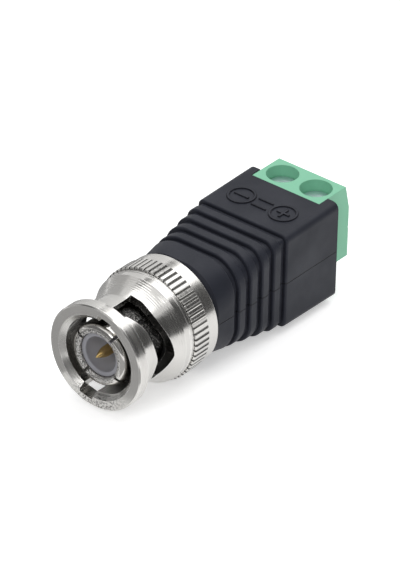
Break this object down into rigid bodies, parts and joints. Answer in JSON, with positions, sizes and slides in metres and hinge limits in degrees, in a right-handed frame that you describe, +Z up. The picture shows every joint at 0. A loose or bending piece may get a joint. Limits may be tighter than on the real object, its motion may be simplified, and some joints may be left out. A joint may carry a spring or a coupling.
{
  "type": "bnc screw terminal adapter",
  "caption": "Bayonet coaxial plug with a knurled coupling nut on a ribbed moulded housing, with a screw terminal block behind it for plus and minus wires.",
  "frame": {"origin": "on the plug's axis, in the plane of the coupling nut's front face", "axes": "+Z up, the plug's axis along Y, the mouth faces -Y, the terminal block is toward +Y, +X is the plus side"},
  "size_m": [0.0144, 0.041, 0.0144],
  "materials": {
    "nickel": "bright nickel plate with fine turning marks",
    "contact_nickel": "bright nickel plate",
    "spring_steel": "bare spring steel",
    "gold": "gold plate",
    "grey_dielectric": "smooth grey plastic",
    "gasket_rubber": "black rubber",
    "housing_black": "fine moulded texture, satin",
    "terminal_green": "smooth satin",
    "zinc_screw": "zinc plate",
    "brass_bare": "tinned brass",
    "tinned_copper": "tinned copper wire"
  },
  "bodies": {
    "adapter": {"plug_body": "contact_nickel", "outer_contact": "contact_nickel", "insulator": "grey_dielectric", "centre_pin": "gold", "gasket": "gasket_rubber", "spring_washer": "spring_steel", "upper_shell": "housing_black", "lower_shell": "housing_black", "terminal_body": "terminal_green", "terminal_pin_minus": "brass_bare", "terminal_pin_plus": "brass_bare", "centre_link": "tinned_copper", "ground_link": "tinned_copper"},
    "spring_stack": {"thrust_washer": "spring_steel"},
    "coupling": {"coupling_nut": "nickel", "retaining_ring": "spring_steel"},
    "screw_minus": {"clamp_screw_minus": "zinc_screw"},
    "screw_plus": {"clamp_screw_plus": "zinc_screw"},
    "cage_minus": {"clamp_cage_minus": "brass_bare"},
    "cage_plus": {"clamp_cage_plus": "brass_bare"}
  },
  "joints": [
    {"name": "coupling_slide", "type": "slide", "parent": "adapter", "child": "spring_stack", "axis": [0, -1, 0], "range_m": [0, 0.0006], "stiffness_N_per_m": 8000, "springref_m": -0.0003, "deforming": ["spring_washer"]},
    {"name": "nut_turn", "type": "hinge", "parent": "spring_stack", "child": "coupling", "pos_m": [0, 0, 0], "axis": [0, 1, 0], "continuous": true},
    {"name": "screw_minus_turn", "type": "hinge", "parent": "adapter", "child": "screw_minus", "pos_m": [-0.00254, 0.03775, 0.0046], "axis": [0, 0, -1], "range_deg": [0, 792]},
    {"name": "screw_plus_turn", "type": "hinge", "parent": "adapter", "child": "screw_plus", "pos_m": [0.00254, 0.03775, 0.0046], "axis": [0, 0, -1], "range_deg": [0, 792]},
    {"name": "cage_minus_rise", "type": "slide", "parent": "adapter", "child": "cage_minus", "axis": [0, 0, 1], "range_m": [0, 0.0011]},
    {"name": "cage_plus_rise", "type": "slide", "parent": "adapter", "child": "cage_plus", "axis": [0, 0, 1], "range_m": [0, 0.0011]}
  ],
  "couplings": [
    {"joint": "screw_minus_turn", "follows": "cage_minus_rise", "rad_per_m": 12566},
    {"joint": "screw_plus_turn", "follows": "cage_plus_rise", "rad_per_m": 12566}
  ]
}
